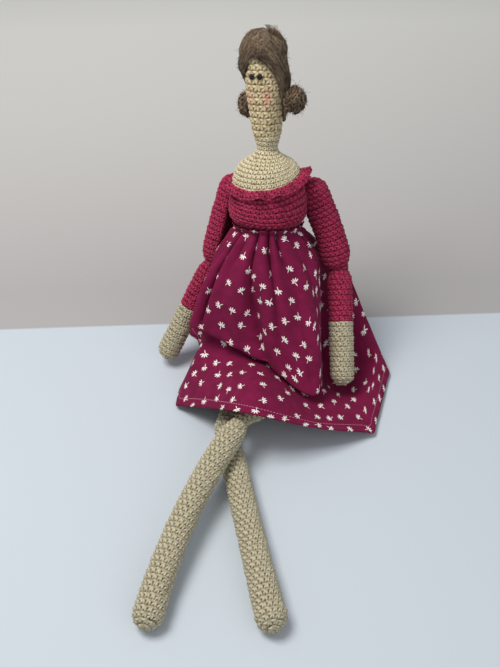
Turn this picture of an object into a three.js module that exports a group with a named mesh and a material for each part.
// A crocheted doll in a gathered cotton skirt, sitting with its legs crossed.
// Millimetres, +Z up. It sits on Z = 0 at the origin and faces -Y.
// Left and right are the doll's own, so left is +X.

import * as THREE from 'three';
import { mergeVertices } from 'three/addons/utils/BufferGeometryUtils.js';

// Fabric, yarn and fits
const wall = 2.6; // crochet fabric
const clearance = 0.3; // between neighbouring pieces
const fillClearance = 0.5; // between the stuffing and its cover
const hairClearance = 0.8; // between the hair and the head
const seamYarn = 1.6; // diameter of the yarn that sews the pieces together
const gatherThread = 0.8; // diameter of the thread that gathers the skirt
const cloth = 1.2; // skirt cotton with its creases

// Torso, measured up its axis from the seat
const seatRadius = 21;
const hipRadius = 26.5;
const hipHeight = 24;
const bodiceHem = 118; // where the crimson yarn starts, under the skirt's edge
const waistRadius = 22;
const waistHeight = 125;
const bustRadius = 30.3;
const bustHeight = 146;
const necklineRadius = 27.5;
const necklineHeight = 166;
const chestFullness = 5.6; // how far the chest bulges between neckline and neck
const neckBaseRadius = 8.2;
const neckBaseHeight = 190;
const neckRadius = 10; // at the seam with the head
const neckTopHeight = 200;
const waistLean = 9.1; // how far the waist lies behind the seat
const neckLean = 28.5;
const neckSway = -2; // how far the neck lies to the right

// Neckline ruffle
const ruffleHeight = 5.6;
const ruffleDepth = 4.8;
const ruffleWaves = 17;
const ruffleWave = 1.2;
const ruffleTip = 4; // how much higher its left side lies than its front
const ruffleSag = 2; // how far its front hangs below the line between its sides

// Head, measured up its own axis from the neck seam
const headLean = 17; // degrees
const headRoll = 3; // degrees, towards the doll's right
const faceTurn = 28; // degrees, towards the doll's right
const jawHeight = 8;
const jawRadius = 11.4;
const chinHeight = 23;
const chinRadius = 12.9;
const browHeight = 38;
const browRadius = 14.1;
const crownHeight = 70;
const hairRadius = 16.8;
const hairHeight = 58;
const hairTop = 77;
const napeHeight = 9;
const hairlineHeight = 60.5;
const hairDepth = 1.6; // least depth of the hair over the head
const templeAngle = 1; // radians from straight ahead, where the hairline starts to fall
const napeAngle = 2.05; // radians, where it has come down to the nape
const strandLobes = 14;
const strandDepth = 0.25;
const bunRadius = 10.5;
const bunDepth = 8.8; // half its thickness, away from the head
const buns = {
  left: { side: 1, angle: 100, height: 26.5 }, // angle in degrees from straight ahead
  right: { side: -1, angle: 120, height: 21.5 },
};
const bunCurls = 7;
const bunCurl = 0.9;
const eyeRadius = 2;
const eyeHeight = 46;
const eyeSpacing = 7.4;

// Arms
const shoulderSeam = 2.2; // room for the seam between torso and arm
const upperArmLength = 66;
const forearmLength = 43.5; // elbow to cuff
const handLength = 52.5;
const pinchRadius = 6.4; // drawn-in limb at an elbow or a knee
const stitchRadius = 0.8; // row of stitches across a hinge

// Legs
const hipSpread = 22.5; // degrees between each leg's root and straight ahead
const hipJointHeight = 12.5;
const hipGap = 1.5;
const hipRunning = 0.6; // free play of the thigh in its seam
const thighRootRadius = 9;
const legRadius = 9.9;
const thighLength = 68;

// Skirt
const skirtRise = 2.5; // its gathered edge above the waist
const pleats = 14;
const pleatDepth = 2.4;
const pleatReach = 0.55; // share of the skirt's length down which the pleats fade out

// How the limbs lie: the way each one points
const arms = {
  left: {
    side: 1,
    back: 20, // degrees behind the doll's side
    shoulderHeight: 150,
    tuck: 0.75, // share of the arm's radius between its axis and its flat
    upperArm: new THREE.Vector3(0.31, -0.36, -0.89).normalize(),
    forearm: new THREE.Vector3(0.025, -0.66, -0.75).normalize(),
    upperRadius: 12.4,
    lowerRadius: 10,
    straighten: 20, // degrees that the elbow can straighten
  },
  right: {
    side: -1,
    back: 40,
    shoulderHeight: 149,
    tuck: 0.55,
    upperArm: new THREE.Vector3(-0.235, -0.32, -0.92).normalize(),
    forearm: new THREE.Vector3(-0.45, -0.31, -0.84).normalize(),
    upperRadius: 11,
    lowerRadius: 9.4,
    straighten: 14,
  },
};
const legs = {
  left: {
    side: 1,
    thigh: new THREE.Vector3(-0.357, -0.877, 0.325).normalize(),
    shin: new THREE.Vector3(-0.378, -0.917, -0.13).normalize(),
    shinLength: 193,
    bendsUp: true, // it lies on top, so it can only be lifted
    bow: new THREE.Vector3(-9.5, 3.8, 0.6), // how far the middle of the shin lies off its line
  },
  right: {
    side: -1,
    thigh: new THREE.Vector3(-0.29, -0.956, -0.038).normalize(),
    shin: new THREE.Vector3(0.196, -0.981, 0.006).normalize(),
    shinLength: 176,
    bendsUp: false,
    bow: new THREE.Vector3(-0.6, 0, 0),
  },
};

// Yarns, cloth and trim
function finish(color, roughness) {
  return new THREE.MeshStandardMaterial({ color, roughness, metalness: 0 });
}
const creamYarn = finish(0xcfc3a2, 0.9);
const crimsonYarn = finish(0xb02c58, 0.9);
const skirtCotton = finish(0x8f1450, 0.85);
const hairWool = finish(0x6b5647, 0.95);
const stuffingFibre = finish(0xefece4, 1);
const eyeBead = finish(0x14110f, 0.3);

// Faces of the revolved bodies
const limbSides = 12;
const torsoSides = 24;
const ringSides = 20;
const headSides = 18;
const hairSides = 40;
const skirtSides = 4 * pleats;
const skirtRows = 10;

const up = new THREE.Vector3(0, 0, 1);
const doll = new THREE.Group();
const headGroup = new THREE.Group();
doll.add(headGroup);

function add(name, geometry, material, group = doll) {
  const mesh = new THREE.Mesh(geometry, material);
  mesh.name = name;
  group.add(mesh);
  return mesh;
}

// A smooth radius along a length, through pairs of [place, radius]
function swell(pairs) {
  const points = pairs.map(([place, radius]) => new THREE.Vector2(place, radius));
  const samples = new THREE.SplineCurve(points).getPoints(30 * pairs.length);
  return (place) => {
    const next = samples.findIndex((sample) => sample.x >= place);
    if (next < 0) return samples.at(-1).y;
    if (next === 0) return samples[0].y;
    const before = samples[next - 1];
    const after = samples[next];
    return THREE.MathUtils.mapLinear(place, before.x, after.x, before.y, after.y);
  };
}

// Even steps from one value to another, both included
function steps(from, to, count) {
  return Array.from({ length: count + 1 }, (_, i) => from + ((to - from) * i) / count);
}

// One closed body: shared points merged, slivers dropped and faces turned outwards
function closedBody(geometry) {
  geometry.deleteAttribute('normal');
  geometry.deleteAttribute('uv');
  const body = mergeVertices(geometry, 1e-4);
  const place = body.attributes.position;
  const corners = [0, 1, 2].map(() => new THREE.Vector3());
  const kept = [];
  let volume = 0;
  for (let i = 0; i < body.index.count; i += 3) {
    const face = [0, 1, 2].map((k) => body.index.getX(i + k));
    if (new Set(face).size < 3) continue;
    face.forEach((index, k) => corners[k].fromBufferAttribute(place, index));
    volume += corners[0].dot(corners[1].clone().cross(corners[2]));
    kept.push(face);
  }
  body.setIndex(kept.flatMap(([a, b, c]) => (volume > 0 ? [a, b, c] : [a, c, b])));
  body.computeVertexNormals();
  return body;
}

// Moves every point of a geometry by a rule, which is told the point's number too
function reshape(geometry, rule) {
  const place = geometry.attributes.position;
  const point = new THREE.Vector3();
  for (let i = 0; i < place.count; i += 1) {
    point.fromBufferAttribute(place, i);
    rule(point, i);
    place.setXYZ(i, point.x, point.y, point.z);
  }
  return geometry;
}

// A body of revolution about +Z from [radius, height] pairs, then moved by a rule.
// The rule is told which pair of the profile each point comes from.
function revolve(profile, sides, rule = () => {}) {
  const rows = profile.length;
  const points = profile.map(([radius, height]) => new THREE.Vector2(radius, height));
  const geometry = new THREE.LatheGeometry(points, sides);
  const place = geometry.attributes.position;
  for (let row = 0; row < rows; row += 1) {
    place.setXYZ(sides * rows + row, place.getX(row), place.getY(row), place.getZ(row));
  }
  reshape(geometry, (point) => point.set(point.x, -point.z, point.y));
  return closedBody(reshape(geometry, (point, i) => rule(point, i % rows)));
}

// A closed skin through rings of points, where a ring of one point is a pole
function loft(rings, closed) {
  const sides = Math.max(...rings.map((ring) => ring.length));
  const points = rings.flatMap((ring) => Array.from({ length: sides }, (_, i) => ring[i % ring.length]));
  const faces = [];
  const last = closed ? rings.length : rings.length - 1;
  for (let j = 0; j < last; j += 1) {
    const here = j * sides;
    const there = ((j + 1) % rings.length) * sides;
    for (let i = 0; i < sides; i += 1) {
      const next = (i + 1) % sides;
      faces.push(here + i, here + next, there + next, here + i, there + next, there + i);
    }
  }
  const geometry = new THREE.BufferGeometry().setFromPoints(points);
  geometry.setIndex(faces);
  return closedBody(geometry);
}

// Turns what is made along +Z so that it runs from a point in a direction
function aim(from, direction) {
  const turn = new THREE.Quaternion().setFromUnitVectors(up, direction);
  return (point) => point.applyQuaternion(turn).add(from);
}

// Presses a point that lies past a plane back on to it
function press(point, through, normal) {
  const past = point.clone().sub(through).dot(normal);
  if (past > 0) point.addScaledVector(normal, -past);
}

// Torso: its slices lean back more and more towards the neck
const underBust = (rise, swelling) => [
  THREE.MathUtils.lerp(waistHeight, bustHeight, rise),
  THREE.MathUtils.lerp(waistRadius, bustRadius, swelling),
];
const torsoRadius = swell([
  [0, seatRadius],
  [hipHeight * 0.3, (seatRadius + 3 * hipRadius) / 4],
  [hipHeight, hipRadius],
  [(hipHeight + waistHeight) / 2, (hipRadius + waistRadius) / 2],
  [waistHeight, waistRadius],
  underBust(0.2, 0.07),
  underBust(0.42, 0.45),
  underBust(0.65, 0.84),
  [bustHeight, bustRadius],
  [necklineHeight, necklineRadius],
  [(necklineHeight + neckBaseHeight) / 2, (necklineRadius + neckBaseRadius) / 2 + chestFullness],
  [neckBaseHeight, neckBaseRadius],
  [neckTopHeight, neckRadius],
]);
const leanPower = Math.log(neckLean / waistLean) / Math.log(neckTopHeight / waistHeight);

function torsoAxis(height) {
  const share = height / neckTopHeight;
  return new THREE.Vector3(neckSway * share ** leanPower, neckLean * share ** leanPower, height);
}

function torsoTilt(height) {
  return THREE.MathUtils.degToRad(headLean * (height / neckTopHeight) ** 2);
}

function torsoPoint(radius, angle, height) {
  const tilt = torsoTilt(height);
  const across = radius * Math.sin(angle);
  const offset = new THREE.Vector3(
    radius * Math.cos(angle),
    across * Math.cos(tilt),
    -across * Math.sin(tilt),
  );
  return torsoAxis(height).add(offset);
}

// Bends an upright body of revolution to the torso's lean
function leanBack(point) {
  const radius = Math.hypot(point.x, point.y);
  point.copy(torsoPoint(radius, Math.atan2(point.y, point.x), point.z));
}

// Pushes a point of a torso seam out of the torso
function clearOfTorso(point) {
  let height = point.z;
  let across = 0;
  for (let i = 0; i < 4; i += 1) {
    const tilt = torsoTilt(height);
    across = (point.y - torsoAxis(height).y) / Math.cos(tilt);
    height = point.z + across * Math.sin(tilt);
  }
  const aside = point.x - torsoAxis(height).x;
  const least = torsoRadius(height) + clearance;
  if (Math.hypot(aside, across) < least) {
    point.copy(torsoPoint(least, Math.atan2(across, aside), height));
  }
}

// A tube of fabric through some places along it, open at both ends
function openTube(radiusAt, places) {
  const outer = places.map((place) => [radiusAt(place), place]);
  const inner = places.map((place) => [radiusAt(place) - wall, place]).reverse();
  return [...outer, ...inner, outer[0]];
}

function makeTorso() {
  const rolled = neckRadius * Math.tan(THREE.MathUtils.degToRad(headRoll));
  const neckEnd = neckTopHeight - seamYarn / 2 - clearance - rolled;
  const lowerRows = steps(0, bodiceHem - clearance / 2, 8);
  const bodiceRows = steps(bodiceHem + clearance / 2, necklineHeight - clearance / 2, 9);
  const chestRows = steps(necklineHeight + clearance / 2, neckEnd, 6);

  const outer = lowerRows.map((height) => [torsoRadius(height), height]);
  const inner = lowerRows.map((height) => [torsoRadius(height) - wall, Math.max(height, wall)]);
  const lower = [[0, 0], ...outer, ...inner.reverse(), [0, wall]];
  add('lower_torso_cover', revolve(lower, torsoSides, leanBack), creamYarn);
  const bodice = openTube(torsoRadius, bodiceRows);
  add('bodice_cover', revolve(bodice, torsoSides, leanBack), crimsonYarn);
  const chest = openTube(torsoRadius, chestRows);
  add('chest_cover', revolve(chest, torsoSides, leanBack), creamYarn);

  const floor = wall + fillClearance;
  const inset = wall + fillClearance;
  const fill = [...lowerRows, ...bodiceRows, ...chestRows].map((height) => [
    torsoRadius(height) - inset,
    Math.max(height, floor),
  ]);
  const core = [[0, floor], ...fill, [0, neckEnd]];
  add('torso_stuffing', revolve(core, torsoSides, leanBack), stuffingFibre);
}

// The flat on each arm where it is sewn to the torso
function shoulderPlane(arm) {
  const angle = THREE.MathUtils.degToRad(arm.back);
  const normal = new THREE.Vector3(arm.side * Math.cos(angle), Math.sin(angle), 0);
  const through = torsoAxis(arm.shoulderHeight).addScaledVector(normal, bustRadius + shoulderSeam);
  return { normal, through };
}

// A wavy flap of crochet all round the neckline
function makeRuffle() {
  const half = ruffleHeight / 2;
  const inside = necklineRadius + clearance;
  const flap = [
    [inside, necklineHeight + half],
    [inside, necklineHeight],
    [inside + ruffleDepth / 2, necklineHeight - half],
    [inside + ruffleDepth, necklineHeight - half * 0.6],
    [inside + ruffleDepth * 0.75, necklineHeight + half * 0.3],
    [inside + ruffleDepth * 0.4, necklineHeight + half],
  ];
  const geometry = revolve([...flap, flap[0]], ruffleWaves * 4, (point) => {
    const angle = Math.atan2(point.y, point.x);
    const out = Math.hypot(point.x, point.y) - inside;
    const wave = Math.sin(angle * ruffleWaves) * ruffleWave * (out / ruffleDepth);
    const aside = Math.cos(angle);
    const height = point.z + wave + aside * ruffleTip + aside ** 2 * ruffleSag;
    const radius = torsoRadius(height) + clearance + Math.max(out + wave * 0.5, 0);
    point.copy(torsoPoint(radius, angle, height));
    for (const arm of Object.values(arms)) {
      const { normal, through } = shoulderPlane(arm);
      press(point, through.addScaledVector(normal, -clearance), normal);
    }
  });
  add('neckline_ruffle', geometry, crimsonYarn);
}

// Hinge of a limb: two ends face each other across a row of stitches at one edge
function sewnHinge(centre, middle, axis, towards, slack = 0) {
  const pivot = centre.clone().addScaledVector(towards, pinchRadius);
  const reach = stitchRadius + clearance;
  const half = THREE.MathUtils.degToRad(slack / 2);
  const upperNormal = middle.clone().applyAxisAngle(axis, -half);
  const lowerNormal = middle.clone().applyAxisAngle(axis, half).negate();
  return {
    pivot,
    axis,
    upperNormal,
    upperEnd: pivot.clone().addScaledVector(upperNormal, -reach),
    lowerNormal,
    lowerEnd: pivot.clone().addScaledVector(lowerNormal, -reach),
  };
}

function addStitches(name, hinge, material) {
  const half = pinchRadius * 0.7;
  const row = [[0, -half], [stitchRadius, -half], [stitchRadius, half], [0, half]];
  add(name, revolve(row, 8, aim(hinge.pivot, hinge.axis)), material);
}

// Quarter circle of a limb's closed end, from its pole outwards
function roundEnd(radius, pole, inward, count) {
  return steps(0, Math.PI / 2, count).map((angle) => [
    radius * Math.sin(angle),
    pole + inward * radius * (1 - Math.cos(angle)),
  ]);
}

// A cover that is closed and round at its start and open at its far end, and what fills it
function closedStart(radiusAt, root, length, count) {
  const along = steps(root, length, count);
  const skin = (inset) => {
    const cap = roundEnd(radiusAt(root) - inset, inset, 1, 4);
    const body = along.slice(1).map((place) => [radiusAt(place) - inset, place]);
    return [...cap, ...body];
  };
  const outer = skin(0);
  const cover = [...outer, ...skin(wall).reverse()];
  const fill = [...skin(wall + fillClearance), [0, length]];
  return { cover, outerRows: outer.length, fill };
}

// A cover that is open at its start and closed and round at its far end, and what fills it
function closedEnd(radiusAt, start, length, count) {
  const tip = length - radiusAt(length);
  const along = steps(start, tip, count);
  const skin = (inset) => {
    const body = along.slice(0, -1).map((place) => [radiusAt(place) - inset, place]);
    const cap = roundEnd(radiusAt(tip) - inset, length - inset, -1, 4).reverse();
    return [...body, ...cap];
  };
  const outer = skin(0);
  const cover = [...outer, ...skin(wall).reverse(), outer[0]];
  return { cover, fill: skin(wall + fillClearance) };
}

function makeArm(name, arm) {
  const { normal, through } = shoulderPlane(arm);
  const inward = normal.clone().negate();
  const lining = through.clone().addScaledVector(normal, wall);
  const filling = lining.clone().addScaledVector(normal, 3 * fillClearance);
  const top = through.clone().addScaledVector(normal, arm.upperRadius * arm.tuck);
  const elbow = top.clone().addScaledVector(arm.upperArm, upperArmLength);
  const axis = arm.upperArm.clone().cross(arm.forearm).normalize();
  const middle = arm.upperArm.clone().add(arm.forearm).normalize();
  const crease = axis.clone().cross(middle);
  const hinge = sewnHinge(elbow, middle, axis, crease, arm.straighten);
  addStitches(`elbow_stitches_${name}`, hinge, crimsonYarn);

  const cap = arm.upperRadius * 0.94;
  const upperLength = cap + upperArmLength;
  const upperRadius = swell([
    [0, cap],
    [cap, cap],
    [upperLength * 0.5, arm.upperRadius],
    [upperLength * 0.84, arm.upperRadius * 0.97],
    [upperLength, pinchRadius],
  ]);
  const upper = closedStart(upperRadius, cap, upperLength, 6);
  const hang = aim(top.clone().addScaledVector(arm.upperArm, -cap), arm.upperArm);
  const upperCover = revolve(upper.cover, limbSides, (point, row) => {
    hang(point);
    press(point, hinge.upperEnd, hinge.upperNormal);
    press(point, row < upper.outerRows ? through : lining, inward);
  });
  add(`upper_arm_cover_${name}`, upperCover, crimsonYarn);
  const upperFill = revolve(upper.fill, limbSides, (point) => {
    hang(point);
    press(point, hinge.upperEnd, hinge.upperNormal);
    press(point, filling, inward);
  });
  add(`upper_arm_stuffing_${name}`, upperFill, stuffingFibre);

  const tip = forearmLength + handLength;
  const lowerRadius = swell([
    [0, pinchRadius],
    [arm.lowerRadius * 0.9, arm.lowerRadius * 0.97],
    [forearmLength * 0.5, arm.lowerRadius],
    [forearmLength, arm.lowerRadius * 0.98],
    [tip, arm.lowerRadius * 0.98],
  ]);
  const reach = aim(elbow, arm.forearm);
  const bend = (point) => {
    reach(point);
    press(point, hinge.lowerEnd, hinge.lowerNormal);
  };
  const sleeve = openTube(lowerRadius, steps(0, forearmLength - clearance / 2, 6));
  add(`forearm_cover_${name}`, revolve(sleeve, limbSides, bend), crimsonYarn);
  const hand = closedEnd(lowerRadius, forearmLength + clearance / 2, tip, 4);
  add(`hand_cover_${name}`, revolve(hand.cover, limbSides, reach), creamYarn);
  const lowerFill = [[0, 0], ...closedEnd(lowerRadius, 0, tip, 6).fill];
  add(`forearm_stuffing_${name}`, revolve(lowerFill, limbSides, bend), stuffingFibre);
}

// Ring of sewing yarn between the torso and an arm
function makeShoulderSeam(name, arm) {
  const { normal, through } = shoulderPlane(arm);
  const outer = arm.upperRadius * 0.66;
  const inner = outer - 2 * seamYarn;
  const ring = [
    [inner, -clearance],
    [outer, -clearance],
    [outer, -shoulderSeam - seamYarn],
    [inner, -shoulderSeam - seamYarn],
  ];
  const seat = aim(through, normal);
  const geometry = revolve([...ring, ring[0]], ringSides, (point) => {
    seat(point);
    clearOfTorso(point);
  });
  add(`shoulder_seam_${name}`, geometry, crimsonYarn);
}

// Where a leg is sewn to the torso: the middle of the thigh's round root
function hipPlace(leg) {
  const angle = THREE.MathUtils.degToRad(hipSpread);
  const outward = new THREE.Vector3(leg.side * Math.sin(angle), -Math.cos(angle), 0);
  const reach = torsoRadius(hipJointHeight) + hipGap + thighRootRadius;
  const root = torsoAxis(hipJointHeight).addScaledVector(outward, reach);
  return { root, outward };
}

function makeLeg(name, leg) {
  const { root } = hipPlace(leg);
  const knee = root.clone().addScaledVector(leg.thigh, thighLength);
  const middle = leg.thigh.clone().add(leg.shin).normalize();
  const axis = middle.clone().cross(up).normalize();
  const lift = axis.clone().cross(middle).multiplyScalar(leg.bendsUp ? 1 : -1);
  const hinge = sewnHinge(knee, middle, axis, lift);
  addStitches(`knee_stitches_${name}`, hinge, creamYarn);

  const thighEnd = thighRootRadius + thighLength;
  const thighRadius = swell([
    [0, thighRootRadius],
    [thighRootRadius, thighRootRadius],
    [thighEnd * 0.45, legRadius],
    [thighEnd * 0.85, legRadius * 0.98],
    [thighEnd, pinchRadius],
  ]);
  const thigh = closedStart(thighRadius, thighRootRadius, thighEnd, 6);
  const rest = aim(root.clone().addScaledVector(leg.thigh, -thighRootRadius), leg.thigh);
  const sit = (point) => {
    rest(point);
    press(point, hinge.upperEnd, hinge.upperNormal);
  };
  add(`thigh_cover_${name}`, revolve(thigh.cover, limbSides, sit), creamYarn);
  add(`thigh_stuffing_${name}`, revolve(thigh.fill, limbSides, sit), stuffingFibre);

  const { shinLength } = leg;
  const shinRadius = swell([
    [0, pinchRadius],
    [legRadius * 0.9, legRadius * 0.95],
    [shinLength * 0.3, legRadius * 0.97],
    [shinLength * 0.6, legRadius * 0.95],
    [shinLength, legRadius * 1.06],
  ]);
  const stretch = aim(knee, leg.shin);
  const lie = (point) => {
    const share = point.z / shinLength;
    stretch(point);
    point.addScaledVector(leg.bow, 4 * share * (1 - share));
    press(point, hinge.lowerEnd, hinge.lowerNormal);
  };
  const shin = closedEnd(shinRadius, 0, shinLength, 9);
  add(`shin_cover_${name}`, revolve(shin.cover, limbSides, lie), creamYarn);
  add(`shin_stuffing_${name}`, revolve([[0, 0], ...shin.fill], limbSides, lie), stuffingFibre);
}

// Ring of sewing yarn between the torso and the round root of a thigh
function makeHipSeam(name, leg) {
  const { root, outward } = hipPlace(leg);
  const outer = thighRootRadius * 0.58;
  const inner = outer - seamYarn * 1.4;
  const half = hipGap + seamYarn;
  const ring = [[inner, -half], [outer, -half], [outer, half], [inner, half]];
  const middle = root.clone().addScaledVector(outward, -thighRootRadius - hipGap / 2);
  const seat = aim(middle, outward);
  const geometry = revolve([...ring, ring[0]], ringSides, (point, row) => {
    seat(point);
    if (row === 2 || row === 3) {
      const offset = point.clone().sub(root);
      const aside = offset.addScaledVector(outward, -offset.dot(outward));
      const away = Math.sqrt((thighRootRadius + hipRunning) ** 2 - aside.lengthSq());
      point.copy(root).add(aside).addScaledVector(outward, -away);
    }
    clearOfTorso(point);
  });
  add(`hip_seam_${name}`, geometry, creamYarn);
}

// Head: a stuffed peg that widens upwards and closes in a dome
const domeStart = crownHeight - browRadius;
const headSwell = swell([
  [0, neckRadius],
  [jawHeight, jawRadius],
  [chinHeight, chinRadius],
  [browHeight, browRadius],
  [domeStart, browRadius],
]);

function headRadius(height) {
  if (height < domeStart) return headSwell(height);
  return Math.sqrt(Math.max(browRadius ** 2 - (height - domeStart) ** 2, 0));
}

function makeHead() {
  const start = seamYarn / 2 + clearance;
  const body = steps(start, domeStart, 6);
  const skin = (inset) => {
    const side = body.slice(0, -1).map((height) => [headSwell(height) - inset, height]);
    return [...side, ...roundEnd(browRadius - inset, crownHeight - inset, -1, 5).reverse()];
  };
  const outer = skin(0);
  const cover = [...outer, ...skin(wall).reverse(), outer[0]];
  add('head_cover', revolve(cover, headSides), creamYarn, headGroup);
  const fill = [[0, start], ...skin(wall + fillClearance)];
  add('head_stuffing', revolve(fill, headSides), stuffingFibre, headGroup);

  const ring = [
    [neckRadius, -seamYarn / 2],
    [neckRadius, seamYarn / 2],
    [neckRadius - wall, seamYarn / 2],
    [neckRadius - wall, -seamYarn / 2],
  ];
  add('neck_seam', revolve([...ring, ring[0]], ringSides), creamYarn, headGroup);
}

// Hair: thin at the nape, rolled over the brow and piled on top
const hairSwell = swell([
  [napeHeight, headRadius(napeHeight) + hairDepth],
  [chinHeight, headRadius(chinHeight) + hairDepth * 1.3],
  [(chinHeight + hairHeight) / 2, browRadius + hairDepth * 1.3],
  [hairHeight, hairRadius],
]);

function hairOutline(height) {
  if (height < hairHeight) return hairSwell(height);
  const share = (height - hairHeight) / (hairTop - hairHeight);
  return hairRadius * Math.sqrt(Math.max(1 - share ** 2, 0));
}

// Lower edge of the hair, at an angle from straight ahead of the face
function hairEdge(angle) {
  const aside = Math.abs(THREE.MathUtils.euclideanModulo(angle + Math.PI, 2 * Math.PI) - Math.PI);
  const share = THREE.MathUtils.smoothstep(aside, templeAngle, napeAngle);
  return THREE.MathUtils.lerp(hairlineHeight, napeHeight, share);
}

function makeHair() {
  const angles = Array.from({ length: hairSides }, (_, i) => (2 * Math.PI * i) / hairSides);
  const ringAt = (heightAt, radiusAt) => angles.map((angle) => {
    const height = heightAt(hairEdge(angle));
    const radius = radiusAt(height, angle);
    return new THREE.Vector3(radius * Math.sin(angle), -radius * Math.cos(angle), height);
  });
  const inner = (height) => headRadius(height) + hairClearance;
  const outer = (height, angle) => hairOutline(height) - strandDepth * (1 + Math.cos(angle * strandLobes));
  const innerTop = crownHeight + hairClearance;
  const rows = [0.985, 0.95, 0.89, 0.81, 0.7, 0.48, 0.24, 0];
  const rise = (top, share) => (edge) => THREE.MathUtils.lerp(edge, top, share);
  const rings = [
    [new THREE.Vector3(0, 0, innerTop)],
    ...rows.map((share) => ringAt(rise(crownHeight, share), inner)),
    ...[0, 0.2, 0.4, 0.6, 0.78, 0.92].map((share) => ringAt(rise(hairTop, share), outer)),
    [new THREE.Vector3(0, 0, hairTop)],
  ];
  add('hair', loft(rings, false), hairWool, headGroup);
}

// A bun is a flattened knob of curls behind each side of the face
function makeBun(name, bun) {
  const turn = THREE.MathUtils.degToRad(bun.angle);
  const outward = new THREE.Vector3(bun.side * Math.sin(turn), -Math.cos(turn), 0);
  const reach = hairOutline(bun.height) + bunDepth * 0.8;
  const seat = aim(outward.clone().multiplyScalar(reach).setZ(bun.height), outward);
  const ball = [
    ...roundEnd(bunRadius, -bunRadius, 1, 5),
    ...roundEnd(bunRadius, bunRadius, -1, 5).reverse().slice(1),
  ];
  const geometry = revolve(ball, bunCurls * 2, (point) => {
    const angle = Math.atan2(point.y, point.x);
    const curl = Math.cos(angle * bunCurls) * Math.sin((point.z / bunRadius) * Math.PI * 1.5);
    point.setLength(point.length() + curl * bunCurl);
    point.z *= bunDepth / bunRadius;
    seat(point);
    const least = hairOutline(point.z) + clearance;
    const radius = Math.hypot(point.x, point.y);
    if (radius < least) {
      point.x *= least / radius;
      point.y *= least / radius;
    }
  });
  add(`bun_${name}`, geometry, hairWool, headGroup);
}

function makeEye(name, side) {
  const radius = headRadius(eyeHeight);
  const angle = Math.asin((side * eyeSpacing) / 2 / radius);
  const outward = new THREE.Vector3(Math.sin(angle), -Math.cos(angle), 0);
  const back = outward.clone().multiplyScalar(radius + clearance).setZ(eyeHeight);
  const dome = [[0, 0], ...roundEnd(eyeRadius, eyeRadius * 0.9, -1, 3).reverse()];
  add(`eye_${name}`, revolve(dome, 10, aim(back, outward)), eyeBead, headGroup);
}

// Skirt: lines down the cloth from its gathered edge to its hem, named for where they hang.
// In front it lies over the legs, and on the right and in front it folds over on itself first.
const skirtTop = waistHeight + skirtRise;
const skirtTopRadius = torsoRadius(skirtTop) + clearance + gatherThread + clearance + cloth;

// A point of the cloth over a leg: a share of the way along its thigh, moved aside and raised
function over(leg, share, aside, ahead, rise) {
  const { root } = hipPlace(leg);
  return root
    .addScaledVector(leg.thigh, thighLength * share)
    .add(new THREE.Vector3(aside, -ahead, legRadius + rise));
}

const at = (x, y, z) => new THREE.Vector3(x, y, z);
const warps = {
  left: [at(37, 20, 104), at(66, 24, 72), at(83, 6, 42), at(96, -12, 18), at(105, -26, 3)],
  leftBack: [at(35, 35, 104), at(61, 42, 70), at(71, 38, 42), at(79, 36, 16), at(87, 33, 3)],
  backLeft: [at(23, 46, 104), at(34, 56, 68), at(35, 48, 42), at(42, 52, 16), at(48, 56, 3)],
  back: [at(0, 50, 104), at(0, 60, 68), at(0, 50, 44), at(0, 54, 16), at(0, 59, 3)],
  backRight: [at(-19, 42, 104), at(-29, 51, 68), at(-34, 46, 42), at(-40, 49, 16), at(-46, 53, 3)],
  rightBack: [at(-23, 26, 106), at(-36, 28, 70), at(-52, 28, 40), at(-64, 28, 16), at(-71, 28, 3)],
  right: [at(-32, 4, 104), at(-41, -6, 74), at(-53, -12, 50), at(-67, -12, 20), at(-76, -9, 3)],
  rightFront: [at(-38, -15, 102), at(-63, -33, 63), at(-50, -29, 50), at(-63, -45, 24), at(-76, -66, 3)],
  frontRight: [
    at(-24, -28, 101),
    at(-38, -48, 53),
    at(-28, -42, 42),
    over(legs.right, 0.5, -18, 0, 15),
    over(legs.right, 0.9, -19, -4, 4),
  ],
  front: [
    at(-2, -34, 100),
    over(legs.left, 0.35, -11.5, 7, 17),
    over(legs.left, 0.3, -9, 1, 10),
    over(legs.left, 0.95, -0.5, -2, 8),
    over(legs.left, 1, -10, 25, 6),
  ],
  frontLeft: [
    at(22, -30, 100),
    over(legs.left, 0.4, 28.5, 8, 7),
    over(legs.left, 0.4, 24.5, 2, -3),
    over(legs.left, 0.8, 40, 5, -14),
    over(legs.left, 1, 46, 20, -17),
  ],
  leftFront: [at(33, -9, 102), at(42, -15, 66), at(52, -34, 24), at(70, -68, 12), at(84, -97, 4)],
};

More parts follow.
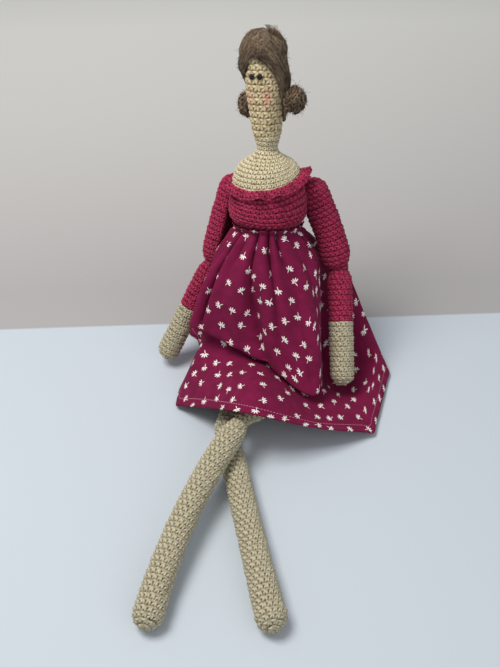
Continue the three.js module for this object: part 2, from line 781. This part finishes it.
function makeSkirt() {
  const names = Object.keys(warps);
  const lines = names.map((name, i) => {
    const edge = torsoPoint(skirtTopRadius, (2 * Math.PI * i) / names.length, skirtTop);
    return new THREE.CatmullRomCurve3([edge, ...warps[name]], false, 'centripetal');
  });
  const shares = steps(0, 1, skirtRows);
  const drape = shares.map((share) => {
    const points = lines.map((line) => line.getPoint(share));
    const ring = new THREE.CatmullRomCurve3(points, true, 'centripetal');
    return Array.from({ length: skirtSides }, (_, i) => ring.getPoint(i / skirtSides));
  });
  const outwardAt = (row, i) => {
    const across = drape[row][(i + 1) % skirtSides].clone().sub(drape[row].at(i - 1));
    const down = drape[Math.min(row + 1, skirtRows)][i].clone().sub(drape[Math.max(row - 1, 0)][i]);
    return down.cross(across).normalize();
  };
  const skin = (inset) => drape.map((ring, row) => ring.map((point, i) => {
    const fading = Math.sin(Math.PI * Math.min(shares[row] / pleatReach, 1));
    const pleat = pleatDepth * fading * (1 - Math.cos((2 * Math.PI * pleats * i) / skirtSides)) * 0.5;
    return point.clone().addScaledVector(outwardAt(row, i), -pleat - inset);
  }));
  add('skirt', loft([...skin(0), ...skin(cloth).reverse()], true), skirtCotton);

  const ring = roundSection(torsoRadius(skirtTop) + clearance, gatherThread / 2, skirtTop);
  add('gathering_thread', revolve(ring, torsoSides, leanBack), crimsonYarn);
}

// Closed round section of a thread that lies against a radius
function roundSection(inside, radius, height) {
  return steps(0, 2 * Math.PI, 6).map((angle) => [
    inside + radius * (1 - Math.cos(angle)),
    height + radius * Math.sin(angle),
  ]);
}

makeTorso();
makeRuffle();
makeSkirt();
for (const [name, arm] of Object.entries(arms)) {
  makeArm(name, arm);
  makeShoulderSeam(name, arm);
}
for (const [name, leg] of Object.entries(legs)) {
  makeLeg(name, leg);
  makeHipSeam(name, leg);
}
makeHead();
makeHair();
for (const [name, bun] of Object.entries(buns)) {
  makeBun(name, bun);
  makeEye(name, bun.side);
}
headGroup.position.copy(torsoAxis(neckTopHeight));
const headAngles = [headLean, headRoll, faceTurn].map((angle) => -THREE.MathUtils.degToRad(angle));
headGroup.rotation.set(...headAngles);

export default doll;
